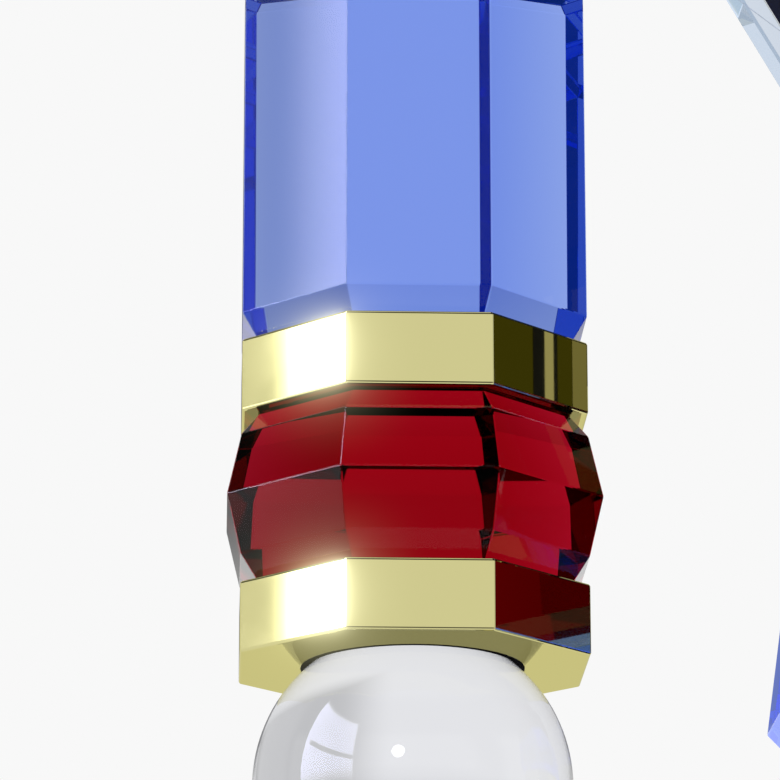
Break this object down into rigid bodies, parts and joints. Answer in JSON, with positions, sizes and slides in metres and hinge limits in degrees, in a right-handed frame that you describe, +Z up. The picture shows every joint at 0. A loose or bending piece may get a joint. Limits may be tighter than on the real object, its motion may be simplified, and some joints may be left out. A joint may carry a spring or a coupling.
{
  "type": "nutcracker figure",
  "caption": "Standing nutcracker figure of cut crystals and gold-tone metal bands, with arms that turn at the shoulders and a lever-worked jaw.",
  "frame": {"origin": "centre of the base's underside", "axes": "+Z up, the figure faces -Y, its right side is -X"},
  "size_m": [0.0952, 0.048, 0.2248],
  "materials": {
    "blue_crystal": "polished, cut facets",
    "red_crystal": "polished, cut facets",
    "clear_crystal": "polished, cut facets",
    "black_crystal": "polished, opaque",
    "gold_metal": "mirror polished, pale gold tone"
  },
  "bodies": {
    "figure": {"base_plate": "gold_metal", "base_plinth": "black_crystal", "belt": "gold_metal", "boot_band_left": "gold_metal", "boot_band_right": "gold_metal", "boot_left": "black_crystal", "boot_right": "black_crystal", "brow_left": "black_crystal", "brow_right": "black_crystal", "button_1": "gold_metal", "button_2": "gold_metal", "button_3": "gold_metal", "coat_hem": "blue_crystal", "eye_left": "black_crystal", "eye_right": "black_crystal", "finial": "clear_crystal", "finial_base": "gold_metal", "hair_left": "clear_crystal", "hair_right": "clear_crystal", "hat": "blue_crystal", "hat_badge": "gold_metal", "hat_band": "gold_metal", "hat_crown": "red_crystal", "hat_top_band": "gold_metal", "head": "clear_crystal", "hip_crystal": "red_crystal", "hip_plate": "gold_metal", "jaw_pin": "gold_metal", "leg_left": "clear_crystal", "leg_right": "clear_crystal", "moustache_left": "black_crystal", "moustache_right": "black_crystal", "neck": "gold_metal", "nose": "clear_crystal", "shoulder_pin_left": "gold_metal", "shoulder_pin_right": "gold_metal", "shoulder_washer_left": "gold_metal", "shoulder_washer_right": "gold_metal", "shoulder_yoke": "gold_metal", "torso_back": "clear_crystal", "torso_front": "black_crystal", "upper_teeth": "clear_crystal", "visor": "black_crystal", "waist": "black_crystal"},
    "arm_right": {"shoulder_cap_right": "gold_metal", "sleeve_right": "blue_crystal", "wrist_band_right": "gold_metal", "cuff_right": "red_crystal", "hand_band_right": "gold_metal", "hand_right": "clear_crystal"},
    "arm_left": {"shoulder_cap_left": "gold_metal", "sleeve_left": "blue_crystal", "wrist_band_left": "gold_metal", "cuff_left": "red_crystal", "hand_band_left": "gold_metal", "hand_left": "clear_crystal"},
    "jaw_piece": {"jaw_lever": "gold_metal", "jaw": "red_crystal", "beard": "clear_crystal"}
  },
  "joints": [
    {"name": "shoulder_right", "type": "hinge", "parent": "figure", "child": "arm_right", "pos_m": [-0.0368, 0, 0.14658], "axis": [-1, 0, 0], "range_deg": [-35, 150]},
    {"name": "shoulder_left", "type": "hinge", "parent": "figure", "child": "arm_left", "pos_m": [0.0368, 0, 0.14658], "axis": [-1, 0, 0], "range_deg": [-35, 150]},
    {"name": "jaw_hinge", "type": "hinge", "parent": "figure", "child": "jaw_piece", "pos_m": [0, 0, 0.15606], "axis": [1, 0, 0], "range_deg": [0, 12]}
  ]
}
